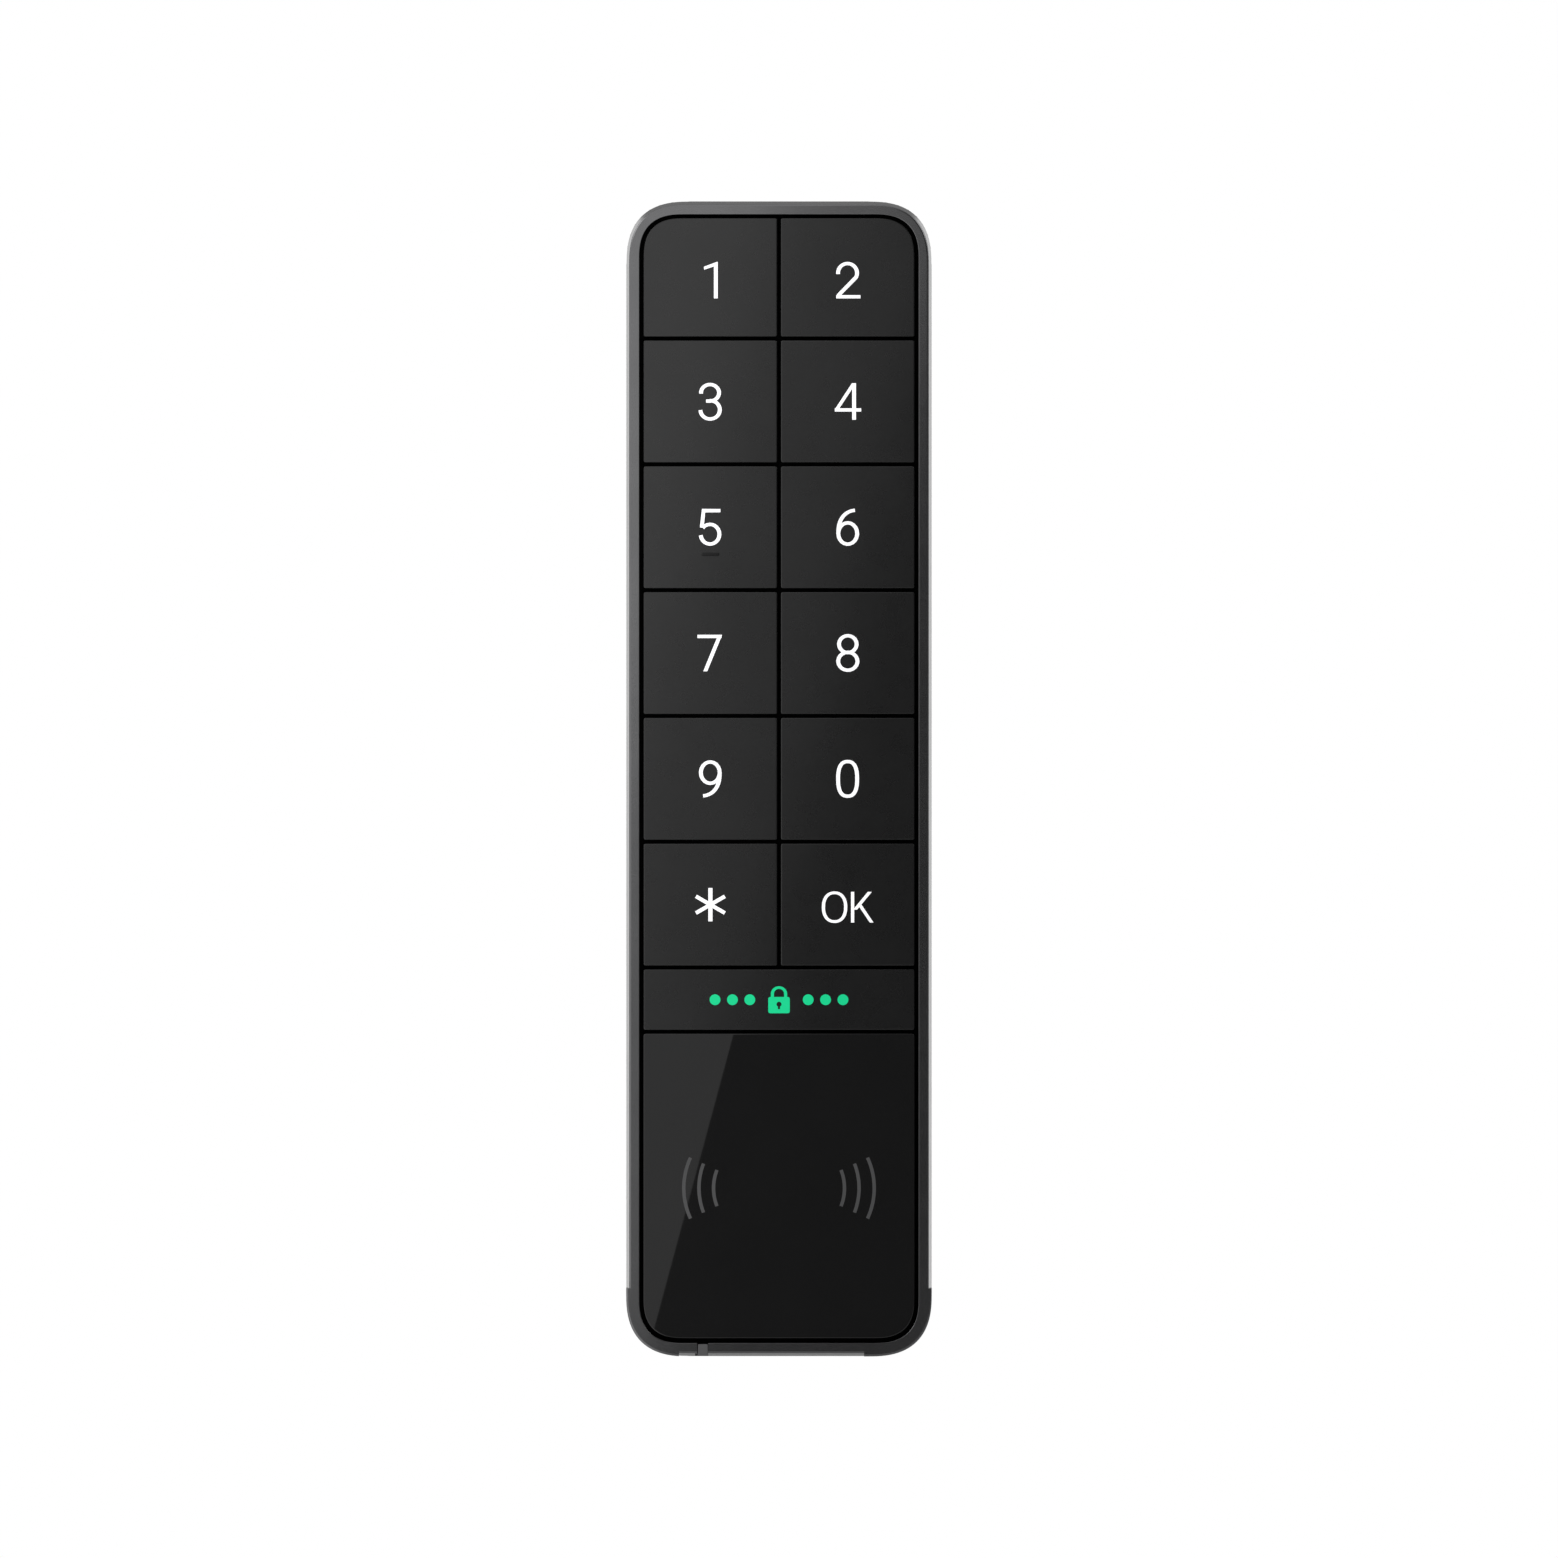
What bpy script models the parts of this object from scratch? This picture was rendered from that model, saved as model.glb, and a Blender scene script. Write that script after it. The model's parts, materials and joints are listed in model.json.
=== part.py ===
"""Wall-mounted card reader with a twelve-key pad.

A slim reader hangs on the four hooks of a wall bracket and is held by one screw from below.
The frame: +X is to the right seen from the front, +Y runs into the wall, +Z is up.
The origin is the middle of the wall face. Sizes are in millimetres until they become vertices.
"""

import math

import bmesh
import bpy
from mathutils import Matrix, Vector

MM = 0.001

# Driving dimensions
WIDTH = 44.0
HEIGHT = 166.5
DEPTH = 24.0
KEY_PITCH = 18.1
GAP = 0.3
RIM = 0.42  # draft of the housing's sides: how much further out they are at the back
END_RIM = 0.58  # the same for its top and bottom ends

CORNER = 9.2
CORNER_POWER = 2.6
SMALL_CORNER = 0.4
CORNER_STEPS = 8
ROUND_SIDES = 24

# Heights and widths of the face
HALF_WIDTH = WIDTH / 2
HALF_HEIGHT = HEIGHT / 2
BEZEL = 1.48
FIELD_HALF_WIDTH = 19.5
FIELD_TOP = 80.67
FIELD_BOTTOM = -80.5
FIELD_CORNER = 5.8
WELL_CORNER = 6.45
SEAM = 0.53  # open line between neighbouring keys
FIRST_SEAM_Z = 63.33
ROWS = 6
KEYS_BOTTOM = FIRST_SEAM_Z - (ROWS - 1) * KEY_PITCH
STATUS_HEIGHT = 9.25
STATUS_BOTTOM = KEYS_BOTTOM - STATUS_HEIGHT
STATUS_MIDDLE = KEYS_BOTTOM - STATUS_HEIGHT / 2
EAR_TOP = -73.32
EAR_ENDS = {-1: 14.4, 1: 12.25}  # how far from the middle each ear starts
EAR_RISE = 0.12  # how much higher the ears end than the bottom edge between them
EAR_STEP = 0.05  # what is left of the ears' step at the back of the housing

# Depths, from the wall at 0 to the bezel at -DEPTH
TRAY_FLOOR = -2.0
TRAY_RIM = -6.5
TRAY_WALL = 1.5
TRAY_CHAMFER = 0.3
SHELL_BACK = TRAY_RIM - GAP
COVER_FRONT = SHELL_BACK - 2.4
GASKET_BACK = COVER_FRONT - GAP
GASKET_FRONT = GASKET_BACK - 0.8
LEDGE_BACK = GASKET_FRONT - GAP
LEDGE_FRONT = LEDGE_BACK - 0.9
BOARD_BACK = -14.6
BOARD_FRONT = -16.2
PARTS_ON_BOARD = BOARD_BACK + GAP
MAT_BACK = BOARD_FRONT - GAP
MAT_FRONT = MAT_BACK - 0.8
DOME_TOP = -18.3
STEM_END = DOME_TOP - GAP
LUG_BACK = -18.7
LUG_FRONT = -19.5
WEB_BACK = -19.8
WEB_FRONT = -20.9
CAP_BACK = -22.0
FACE = -23.8
SHELL_FRONT = -DEPTH
CAP_CHAMFER = 0.2
SHELL_CHAMFER = 0.35

# Housing
SHELL_WALL = 1.6
LEDGE_WIDTH = 1.6
STEM_HALF = (4.5, 3.5)
LUG_HALF = (5.4, 1.6)
WINDOW_MARGIN = GAP
KEY_CENTRE_X = (SEAM / 2 + FIELD_HALF_WIDTH) / 2
BOARD_HALF_WIDTH = 12.8

# Status strip, reading zone and light sensor
LIGHT_GUIDE_HALF = (9.0, 1.9)
PEG_X = 15.0
PEG_RADIUS = 1.0
ANTENNA_Z = -57.0
ANTENNA_WINDOW_HALF = (13.5, 14.7)
SENSOR_X = -10.95
SENSOR_HALF = 0.72
SENSOR_TOP = -81.35
SENSOR_BOTTOM = -82.76
SENSOR_BACK = -20.5

# Fasteners
SCREW_HOLE = 1.3
SCREW_SHANK = 1.0
BOSS_RADIUS = 2.3
BOSS_X = 15.4
BOSS_ROWS = (FIRST_SEAM_Z, FIRST_SEAM_Z - 4 * KEY_PITCH, -75.5)
POST_RADIUS = 2.2
POST_HOLE = 1.1
POST_ROWS = (FIRST_SEAM_Z, FIRST_SEAM_Z - 3 * KEY_PITCH, KEYS_BOTTOM)
HOLD_Y = -4.0
HOLD_HEAD = 1.8
HOLD_SEAT_Z = -81.6
HOLD_BOSS_TOP = -79.9
WALL_HOLE_Z = 68.0
WALL_HOLE = 2.25
WALL_HOLE_SINK = 4.3

# Hooks of the bracket: each is a neck through the cover with a lip that points up
HOOK_X = 10.0
HOOK_HALF = 2.0
HOOK_ROWS = (52.0, -50.0)
HOOK_NECK = 2.0
HOOK_LIP = 5.0
LIFT = 6.0
HOOK_LIP_FRONT = -10.7
HOOK_LIP_BACK = COVER_FRONT - GAP

# Ribs on the back of the cover
LIP = 1.0
LIP_DEPTH = 1.2
LIP_TOP = 75.0
LIP_BOTTOM = -79.6

# Things that pass through the cover or lie behind it
CABLE_Z = -22.0
CABLE_WINDOW_HALF = (8.0, 8.0)
GROMMET_HOLE = 4.3
VENT_Z = -62.0
VENT_HOLE = 2.8
TAMPER_Z = 52.0
TAMPER_HOLE = 1.5
TAMPER_SWITCH_BACK = -11.6

# Finishes: colour, roughness, metallic
FINISHES = {
    "satin_black": ((0.022, 0.022, 0.023, 1.0), 0.45, 0.0),
    "key_black": ((0.016, 0.016, 0.017, 1.0), 0.4, 0.0),
    "gloss_black": ((0.008, 0.008, 0.009, 1.0), 0.08, 0.0),
    "dark_grey": ((0.05, 0.05, 0.052, 1.0), 0.5, 0.0),
    "smoke": ((0.09, 0.09, 0.095, 1.0), 0.25, 0.0),
    "rubber": ((0.03, 0.03, 0.03, 1.0), 0.85, 0.0),
    "silicone": ((0.55, 0.56, 0.56, 1.0), 0.6, 0.0),
    "clear": ((0.75, 0.78, 0.78, 1.0), 0.15, 0.0),
    "lamp": ((0.75, 0.8, 0.7, 1.0), 0.3, 0.0),
    "board": ((0.01, 0.12, 0.05, 1.0), 0.5, 0.0),
    "copper": ((0.75, 0.35, 0.16, 1.0), 0.35, 1.0),
    "ferrite": ((0.06, 0.055, 0.05, 1.0), 0.7, 0.0),
    "chip": ((0.02, 0.02, 0.022, 1.0), 0.5, 0.0),
    "tin": ((0.62, 0.63, 0.64, 1.0), 0.35, 1.0),
    "steel": ((0.55, 0.56, 0.57, 1.0), 0.3, 1.0),
    "terminal": ((0.02, 0.16, 0.06, 1.0), 0.5, 0.0),
}


def clear_scene():
    for old in list(bpy.data.objects):
        bpy.data.objects.remove(old, do_unlink=True)


# Outlines in the XZ plane, anticlockwise seen from the front


def rounded(left, right, bottom, top, corners):
    """Rectangle with superellipse corners: lower left, lower right, upper right, upper left."""
    points = []
    sides = ((left, bottom), (right, bottom), (right, top), (left, top))
    inward = ((1, 1), (-1, 1), (-1, -1), (1, -1))
    for turn, (side, way, size) in enumerate(zip(sides, inward, corners)):
        steps = CORNER_STEPS if size > 1.0 else 2
        centre = (side[0] + way[0] * size, side[1] + way[1] * size)
        for step in range(steps + 1):
            angle = math.radians(180 + 90 * (turn + step / steps))
            reach = [math.cos(angle), math.sin(angle)]
            reach = [math.copysign(abs(value) ** (2 / CORNER_POWER), value) for value in reach]
            points.append((centre[0] + size * reach[0], centre[1] + size * reach[1]))
    return points


def frame_outline(inset, end_inset=None):
    """The reader's outer outline, moved inwards by inset, and at its two ends by end_inset."""
    half_width = HALF_WIDTH - inset
    half_height = HALF_HEIGHT - (inset if end_inset is None else end_inset)
    corner = max(CORNER - inset, SMALL_CORNER)
    return rounded(-half_width, half_width, -half_height, half_height, [corner] * 4)


def centred(x, z, half_x, half_z):
    return rectangle(x - half_x, x + half_x, z - half_z, z + half_z)


def rectangle(left, right, bottom, top):
    return [(left, bottom), (right, bottom), (right, top), (left, top)]


def circle(x, z, radius, sides=ROUND_SIDES):
    turns = [2 * math.pi * side / sides for side in range(sides)]
    return [(x + radius * math.cos(turn), z + radius * math.sin(turn)) for turn in turns]


# Solids


def loft(name, sections, upright=False):
    """Closed solid through outlines at given depths, or at given heights where upright."""
    mesh = bpy.data.meshes.new(name)
    shape = bmesh.new()
    loops = []
    for along, outline in sections:
        spots = [(u, v, along) if upright else (u, along, v) for u, v in outline]
        loops.append([shape.verts.new(Vector(spot) * MM) for spot in spots])
    for near, far in zip(loops, loops[1:]):
        for index in range(len(near)):
            after = (index + 1) % len(near)
            shape.faces.new((near[index], near[after], far[after], far[index]))
    shape.faces.new(loops[0])
    shape.faces.new(loops[-1])
    bmesh.ops.recalc_face_normals(shape, faces=shape.faces)
    shape.to_mesh(mesh)
    shape.free()
    solid = bpy.data.objects.new(name, mesh)
    bpy.context.scene.collection.objects.link(solid)
    return solid


def slab(name, outline, front, back):
    return loft(name, [(front, outline), (back, outline)])


def block(name, x, y, z):
    """Box from three (low, high) pairs."""
    return slab(name, rectangle(x[0], x[1], z[0], z[1]), y[0], y[1])


def turned(name, x, z, profile):
    """Solid of revolution about a line along Y, from (depth, radius) pairs."""
    return loft(name, [(depth, circle(x, z, radius)) for depth, radius in profile])


def turned_upright(name, x, y, profile):
    """Solid of revolution about a vertical line, from (height, radius) pairs."""
    sections = [(height, circle(x, y, radius)) for height, radius in profile]
    return loft(name, sections, upright=True)


def combine(body, operation, tools):
    for tool in tools:
        step = body.modifiers.new(tool.name, "BOOLEAN")
        step.operation = operation
        step.solver = "EXACT"
        step.object = tool
        tool.hide_render = True
        tool.display_type = "WIRE"


def cut(body, *tools):
    combine(body, "DIFFERENCE", tools)


def join(body, *tools):
    combine(body, "UNION", tools)


def keep(body, *tools):
    combine(body, "INTERSECT", tools)


def finish(solid, look):
    """Gives a piece its own material and smooth shading on its round faces."""
    colour, roughness, metallic = FINISHES[look]
    material = bpy.data.materials.new(solid.name + "_material")
    material.use_nodes = True
    shader = material.node_tree.nodes["Principled BSDF"]
    shader.inputs["Base Color"].default_value = colour
    shader.inputs["Roughness"].default_value = roughness
    shader.inputs["Metallic"].default_value = metallic
    solid.data.materials.append(material)
    solid.data.shade_smooth()
    solid.data.set_sharp_from_angle(angle=math.radians(35))
    return solid


def set_origin(solid, x, y, z):
    spot = Vector((x, y, z)) * MM
    solid.data.transform(Matrix.Translation(-spot))
    solid.location = spot


# Wall bracket


def make_hook(x, z):
    neck = block(
        f"hook_neck_{x:.0f}_{z:.0f}",
        (x - HOOK_HALF, x + HOOK_HALF),
        (HOOK_LIP_FRONT, TRAY_FLOOR / 2),
        (z, z + HOOK_NECK),
    )
    lip = block(
        f"hook_lip_{x:.0f}_{z:.0f}",
        (x - HOOK_HALF, x + HOOK_HALF),
        (HOOK_LIP_FRONT, HOOK_LIP_BACK),
        (z, z + HOOK_LIP),
    )
    join(neck, lip)
    return neck


def make_wall_bracket():
    chamfered = [
        (TRAY_RIM, frame_outline(TRAY_CHAMFER)),
        (TRAY_RIM + TRAY_CHAMFER, frame_outline(0)),
        (0, frame_outline(0)),
    ]
    bracket = loft("wall_bracket", chamfered)
    cut(bracket, slab("tray_hollow", frame_outline(TRAY_WALL), TRAY_RIM - 1, TRAY_FLOOR))
    boss = block("hold_boss", (-4, 4), (TRAY_RIM + TRAY_CHAMFER, -1), (-82.5, HOLD_BOSS_TOP))
    join(bracket, boss)
    bore = [
        (-HALF_HEIGHT - 1, HOLD_HEAD + GAP),
        (HOLD_SEAT_Z, HOLD_HEAD + GAP),
        (HOLD_SEAT_Z, SCREW_HOLE),
        (HOLD_BOSS_TOP + 1, SCREW_HOLE),
    ]
    cut(bracket, turned_upright("hold_bore", 0, HOLD_Y, bore))
    for z in HOOK_ROWS:
        join(bracket, make_hook(-HOOK_X, z), make_hook(HOOK_X, z))
    window = centred(0, CABLE_Z, *CABLE_WINDOW_HALF)
    cut(bracket, slab("cable_window", window, TRAY_FLOOR - 1, 1))
    for z in (WALL_HOLE_Z, -WALL_HOLE_Z):
        sink = [
            (TRAY_FLOOR - 1, WALL_HOLE_SINK),
            (TRAY_FLOOR, WALL_HOLE_SINK),
            (-0.6, WALL_HOLE),
            (1, WALL_HOLE),
        ]
        cut(bracket, turned(f"wall_hole_{z:.0f}", 0, z, sink))
    return finish(bracket, "dark_grey")


def make_holding_screw():
    head_front = -HALF_HEIGHT + 0.25
    head_back = HOLD_SEAT_Z - GAP
    profile = [
        (head_front, HOLD_HEAD),
        (head_back, HOLD_HEAD),
        (head_back, SCREW_SHANK),
        (-74.8, SCREW_SHANK),
        (-74.5, SCREW_SHANK / 2),
    ]
    screw = turned_upright("holding_screw", 0, HOLD_Y, profile)
    hexagon = circle(0, HOLD_Y, 0.95, sides=6)
    drive = loft("hold_drive", [(head_front - 1, hexagon), (head_front + 0.7, hexagon)], True)
    cut(screw, drive)
    return finish(screw, "steel")


# Housing


def ear_outline(inset):
    half_width = HALF_WIDTH - inset
    bottom = -HALF_HEIGHT + EAR_RISE + inset
    return rounded(-half_width, half_width, bottom, HALF_HEIGHT - inset, [CORNER - inset] * 4)


def make_ear(side):
    """Lower corner of the housing, whose sides have no draft and so step out from the rest."""
    sections = [
        (SHELL_FRONT, ear_outline(SHELL_CHAMFER)),
        (SHELL_FRONT + SHELL_CHAMFER, ear_outline(0)),
        (SHELL_BACK, ear_outline(0)),
    ]
    ear = loft(f"ear_{side}", sections)
    outer = side * (HALF_WIDTH + 1)
    inner = side * EAR_ENDS[side]
    zone = block(
        f"ear_zone_{side}",
        (min(outer, inner), max(outer, inner)),
        (SHELL_FRONT - 1, 0),
        (-HALF_HEIGHT - 1, EAR_TOP),
    )
    keep(ear, zone)
    return ear


def key_centres():
    """Centre of each key, row by row from the top, left before right."""
    seams = [FIELD_TOP + SEAM / 2] + [FIRST_SEAM_Z - row * KEY_PITCH for row in range(ROWS)]
    for upper, lower in zip(seams, seams[1:]):
        for side in (-1, 1):
            yield side * KEY_CENTRE_X, (upper + lower) / 2


def hollow_housing(housing):
    well = rounded(
        -HALF_WIDTH + RIM + BEZEL,
        HALF_WIDTH - RIM - BEZEL,
        -HALF_HEIGHT + END_RIM + BEZEL,
        HALF_HEIGHT - END_RIM - BEZEL,
        [WELL_CORNER] * 4,
    )
    inside = frame_outline(RIM + SHELL_WALL)
    ledge = frame_outline(RIM + SHELL_WALL + LEDGE_WIDTH)
    cut(
        housing,
        slab("key_well", well, SHELL_FRONT - 1, WEB_FRONT),
        slab("front_hollow", inside, WEB_BACK, LEDGE_FRONT),
        slab("ledge_opening", ledge, LEDGE_FRONT - 1, LEDGE_BACK + 1),
        slab("rear_hollow", inside, LEDGE_BACK, SHELL_BACK + 1),
    )


def add_bosses(housing):
    for row, z in enumerate(BOSS_ROWS):
        for side in (-1, 1):
            x = side * BOSS_X
            name = f"{row}_{side}"
            boss = [(WEB_BACK - 0.4, BOSS_RADIUS), (COVER_FRONT - GAP, BOSS_RADIUS)]
            hole = [(-16.0, SCREW_HOLE), (COVER_FRONT + 1, SCREW_HOLE)]
            join(housing, turned("boss_" + name, x, z, boss))
            cut(housing, turned("boss_hole_" + name, x, z, hole))
    for row, z in enumerate(POST_ROWS):
        post = [(WEB_BACK - 0.4, POST_RADIUS), (MAT_BACK, POST_RADIUS)]
        hole = [(WEB_BACK + GAP, POST_HOLE), (MAT_BACK + 1, POST_HOLE)]
        join(housing, turned(f"post_{row}", 0, z, post))
        cut(housing, turned(f"post_hole_{row}", 0, z, hole))


def cut_windows(housing):
    through = (WEB_FRONT - 0.5, WEB_BACK + 0.5)
    for index, (x, z) in enumerate(key_centres()):
        outline = centred(x, z, STEM_HALF[0] + WINDOW_MARGIN, STEM_HALF[1] + WINDOW_MARGIN)
        cut(housing, slab(f"key_window_{index}", outline, *through))
    guide = centred(0, STATUS_MIDDLE, LIGHT_GUIDE_HALF[0] + GAP, LIGHT_GUIDE_HALF[1] + GAP)
    cut(housing, slab("guide_window", guide, *through))
    for side in (-1, 1):
        peg = [(through[0], PEG_RADIUS + GAP), (through[1], PEG_RADIUS + GAP)]
        cut(housing, turned(f"peg_hole_{side}", side * PEG_X, STATUS_MIDDLE, peg))
    antenna = centred(0, ANTENNA_Z, ANTENNA_WINDOW_HALF[0], ANTENNA_WINDOW_HALF[1])
    cut(housing, slab("antenna_window", antenna, *through))


def make_front_housing():
    sections = [
        (SHELL_FRONT, frame_outline(RIM + SHELL_CHAMFER, END_RIM + SHELL_CHAMFER)),
        (SHELL_FRONT + SHELL_CHAMFER, frame_outline(RIM, END_RIM)),
        (SHELL_BACK, frame_outline(EAR_STEP)),
    ]
    housing = loft("front_housing", sections)
    join(housing, make_ear(-1), make_ear(1))
    hollow_housing(housing)
    add_bosses(housing)
    cut_windows(housing)
    notch = block(
        "sensor_notch",
        (SENSOR_X - SENSOR_HALF - GAP, SENSOR_X + SENSOR_HALF + GAP),
        (SHELL_FRONT - 1, SENSOR_BACK + GAP),
        (-HALF_HEIGHT - 1, SENSOR_TOP + 2 * GAP),
    )
    cut(housing, notch)
    return finish(housing, "satin_black")


def make_light_sensor_window():
    window = block(
        "light_sensor_window",
        (SENSOR_X - SENSOR_HALF, SENSOR_X + SENSOR_HALF),
        (SHELL_FRONT + 0.05, SENSOR_BACK),
        (SENSOR_BOTTOM, SENSOR_TOP),
    )
    return finish(window, "smoke")


# Keys and the panels below them


def capped(name, box, corners, back):
    """Panel with a small chamfer round its front face."""
    left, right, bottom, top = box
    rim = rounded(left, right, bottom, top, corners)
    c = CAP_CHAMFER
    face_corners = [max(corner - c, c) for corner in corners]
    face = rounded(left + c, right - c, bottom + c, top - c, face_corners)
    return loft(name, [(FACE, face), (FACE + c, rim), (back, rim)])


def make_keys():
    names = ("1", "2", "3", "4", "5", "6", "7", "8", "9", "0", "star", "ok")
    keys = []
    for index, (name, (x, z)) in enumerate(zip(names, key_centres())):
        row, right_side = divmod(index, 2)
        inner = SEAM / 2 if right_side else -SEAM / 2
        outer = FIELD_HALF_WIDTH if right_side else -FIELD_HALF_WIDTH
        top = FIELD_TOP if row == 0 else FIRST_SEAM_Z - (row - 1) * KEY_PITCH - SEAM / 2
        bottom = FIRST_SEAM_Z - row * KEY_PITCH + SEAM / 2
        corners = [SMALL_CORNER] * 4
        if row == 0:
            corners[2 if right_side else 3] = FIELD_CORNER
        key = capped(f"key_{name}", (min(inner, outer), max(inner, outer), bottom, top), corners, CAP_BACK)
        stem = slab(f"stem_{name}", centred(x, z, *STEM_HALF), CAP_BACK - GAP, STEM_END)
        lug = slab(f"lug_{name}", centred(x, z, *LUG_HALF), LUG_FRONT, LUG_BACK)
        join(key, stem, lug)
        if name == "5":
            ridge = slab("touch_ridge", centred(x, z - 5.0, 1.3, 0.25), FACE - 0.15, FACE + GAP)
            join(key, ridge)
        set_origin(key, x, CAP_BACK, z)
        keys.append(finish(key, "key_black"))
    return keys


def make_status_bar():
    box = (
        -FIELD_HALF_WIDTH,
        FIELD_HALF_WIDTH,
        STATUS_BOTTOM + SEAM / 2,
        KEYS_BOTTOM - SEAM / 2,
    )
    bar = capped("status_bar", box, [SMALL_CORNER] * 4, CAP_BACK)
    for side in (-1, 1):
        peg = [(CAP_BACK - GAP, PEG_RADIUS), (WEB_BACK + 1.0, PEG_RADIUS)]
        join(bar, turned(f"peg_{side}", side * PEG_X, STATUS_MIDDLE, peg))
    return finish(bar, "key_black")


def make_reader_pad():
    box = (-FIELD_HALF_WIDTH, FIELD_HALF_WIDTH, FIELD_BOTTOM, STATUS_BOTTOM - SEAM / 2)
    corners = [FIELD_CORNER, FIELD_CORNER, SMALL_CORNER, SMALL_CORNER]
    pad = capped("reader_pad", box, corners, WEB_FRONT - GAP)
    hollow = rounded(-17.9, 17.9, FIELD_BOTTOM + 1.6, STATUS_BOTTOM - 1.8, [4.7, 4.7, 1.2, 1.2])
    cut(pad, slab("pad_hollow", hollow, -22.4, WEB_FRONT + 1))
    return finish(pad, "gloss_black")


def make_key_mat():
    base = rounded(-BOARD_HALF_WIDTH, BOARD_HALF_WIDTH, KEYS_BOTTOM + GAP, 78.0, [1.5] * 4)
    mat = slab("key_mat", base, MAT_FRONT, MAT_BACK)
    for index, (x, z) in enumerate(key_centres()):
        dome = [(DOME_TOP, 1.9), (DOME_TOP + 0.7, 2.5), (MAT_FRONT + 0.4, 2.6)]
        join(mat, turned(f"dome_{index}", x, z, dome))
    for row, z in enumerate(POST_ROWS):
        around = [(MAT_FRONT - 1, POST_RADIUS + 0.4), (MAT_BACK + 1, POST_RADIUS + 0.4)]
        cut(mat, turned(f"mat_hole_{row}", 0, z, around))
    return finish(mat, "silicone")


# Electronics


def make_main_board():
    outline = rounded(-BOARD_HALF_WIDTH, BOARD_HALF_WIDTH, -36.0, 77.5, [1.5] * 4)
    board = slab("main_board", outline, BOARD_FRONT, BOARD_BACK)
    for row, z in enumerate(POST_ROWS):
        hole = [(BOARD_FRONT - 1, SCREW_HOLE), (BOARD_BACK + 1, SCREW_HOLE)]
        cut(board, turned(f"board_hole_{row}", 0, z, hole))
    return finish(board, "board")


def make_status_lights():
    guide = slab(
        "status_light_guide",
        centred(0, STATUS_MIDDLE, *LIGHT_GUIDE_HALF),
        CAP_BACK + GAP,
        -17.7,
    )
    lights = [finish(guide, "clear")]
    for index, x in enumerate((-6.0, 0.0, 6.0)):
        outline = centred(x, STATUS_MIDDLE, 1.5, 1.0)
        lamp = slab(f"status_led_{index + 1}", outline, -17.4, BOARD_FRONT - GAP)
        lights.append(finish(lamp, "lamp"))
    return lights


def make_antenna():
    top = ANTENNA_Z + 16.0
    bottom = ANTENNA_Z - 15.0
    board_outline = rounded(-17.0, 17.0, bottom, top, [1.5] * 4)
    board = slab("antenna_board", board_outline, WEB_BACK + GAP, WEB_BACK + 1.1)
    outer = rounded(-12.9, 12.9, ANTENNA_Z - 14.1, ANTENNA_Z + 14.1, [2.5] * 4)
    inner = rounded(-9.9, 9.9, ANTENNA_Z - 11.1, ANTENNA_Z + 11.1, [1.2] * 4)
    coil = slab("antenna_coil", outer, WEB_FRONT, WEB_BACK)
    cut(coil, slab("coil_middle", inner, WEB_FRONT - 1, WEB_BACK + 1))
    sheet_back = WEB_BACK + 2.0
    sheet = block("ferrite_sheet", (-14.0, 14.0), (sheet_back - 0.6, sheet_back), (bottom + 2, top - 5))
    plug = block("antenna_connector", (-4.0, 4.0), (sheet_back - 0.6, -15.8), (top - 4.2, top - 0.6))
    return [
        finish(board, "board"),
        finish(coil, "copper"),
        finish(sheet, "ferrite"),
        finish(plug, "silicone"),
    ]


def make_buzzer():
    radius = 6.3
    rear = -10.0
    profile = [(PARTS_ON_BOARD, radius), (rear - 0.5, radius), (rear, radius - 0.5)]
    buzzer = turned("buzzer", 0, 36.5, profile)
    cut(buzzer, turned("sound_hole", 0, 36.5, [(rear - 1.5, 1.0), (rear + 1, 1.0)]))
    return finish(buzzer, "chip")


def slotted(screw, x, z, radius, rear):
    """Cuts a straight driver slot in a screw head whose outer face is at depth rear."""
    outline = centred(x, z, radius + 1, 0.25)
    cut(screw, slab(screw.name + "_slot", outline, rear - 0.4, rear + 1))


def make_terminal_block():
    low = -12.5
    high = -4.5
    rear = -9.7
    screw_z = -7.0
    bore_radius = 1.7
    body = block("terminal_block", (-10.4, 10.4), (PARTS_ON_BOARD, rear), (low, high))
    pieces = []
    for index in range(4):
        x = (index - 1.5) * 5.2
        bore = [(-12.2, bore_radius), (rear + 1, bore_radius)]
        cut(body, turned(f"terminal_bore_{index}", x, screw_z, bore))
        entry = block(f"wire_entry_{index}", (x - 1.3, x + 1.3), (-13.6, -11.2), (low - 1, -9.4))
        cut(body, entry)
        radius = bore_radius - GAP
        head = rear - 0.4
        screw = turned(f"terminal_screw_{index + 1}", x, screw_z, [(-11.9, radius), (head, radius)])
        slotted(screw, x, screw_z, radius, head)
        pieces.append(finish(screw, "steel"))
    return [finish(body, "terminal")] + pieces


def make_board_parts():
    shield = block("processor_shield", (-8.5, 8.5), (PARTS_ON_BOARD, -12.3), (12.4, 25.0))
    chip = block("reader_chip", (-11.0, -4.0), (PARTS_ON_BOARD, -13.2), (-34.5, -27.5))
    switch = block(
        "tamper_switch",
        (-3.0, 3.0),
        (PARTS_ON_BOARD, TAMPER_SWITCH_BACK),
        (TAMPER_Z - 3.0, TAMPER_Z + 3.0),
    )
    return [finish(shield, "tin"), finish(chip, "chip"), finish(switch, "chip")]


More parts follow.
